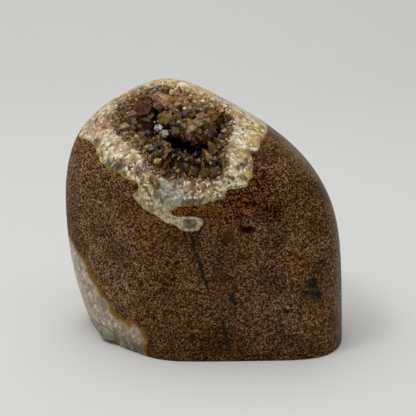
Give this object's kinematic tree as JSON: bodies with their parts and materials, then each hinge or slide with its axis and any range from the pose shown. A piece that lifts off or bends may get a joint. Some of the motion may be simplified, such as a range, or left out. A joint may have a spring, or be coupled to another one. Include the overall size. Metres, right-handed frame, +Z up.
{
  "type": "polished amethyst geode",
  "caption": "Free-standing polished basalt geode with a flat ground base and an open hollow lined with smoky amethyst crystals.",
  "frame": {"origin": "middle of the stone's footprint, on the surface it stands on", "axes": "+Z up, -Y out of the broad front face, +X to the right of someone who looks at that face"},
  "size_m": [0.0998, 0.0664, 0.0913],
  "materials": {
    "polished_basalt": "polished, fine brown grain with pale quartz and agate round the hollow",
    "smoky_quartz": "natural crystal faces, semi-clear, brown to mauve"
  },
  "bodies": {
    "root": {"polished_stone": "polished_basalt", "crystal_crust": "smoky_quartz"}
  },
  "joints": []
}
